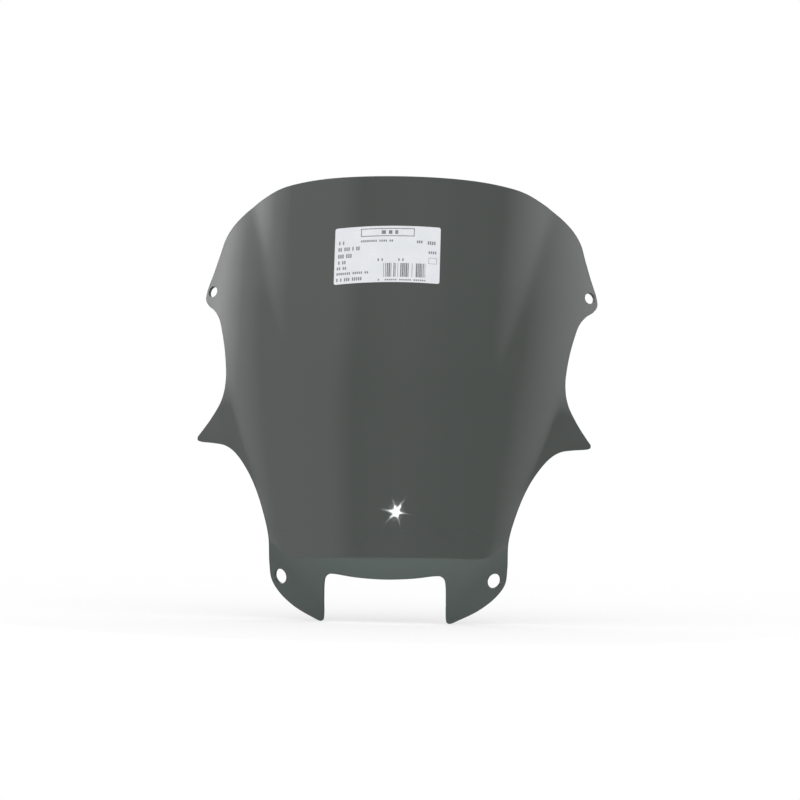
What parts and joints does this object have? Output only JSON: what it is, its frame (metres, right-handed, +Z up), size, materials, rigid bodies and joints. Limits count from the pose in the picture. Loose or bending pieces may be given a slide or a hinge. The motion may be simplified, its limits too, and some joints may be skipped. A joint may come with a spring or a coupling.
{
  "type": "windshield screen",
  "caption": "Smoked acrylic motorcycle windshield screen with creased upper corners, side wings and screw holes, and a blank-pattern product label.",
  "frame": {"origin": "midway between the two lower screw holes, on the outer face's depth there", "axes": "+Z up the upright screen, -Y out of the outer face towards the front of the motorcycle, +X to the viewer's right when facing the outer face"},
  "size_m": [0.3834, 0.1221, 0.4288],
  "materials": {
    "smoked_acrylic": "polished transparent smoke grey",
    "label_paper": "satin white paper label"
  },
  "bodies": {
    "root": {"windscreen": "smoked_acrylic", "product_label": "label_paper"}
  },
  "joints": []
}
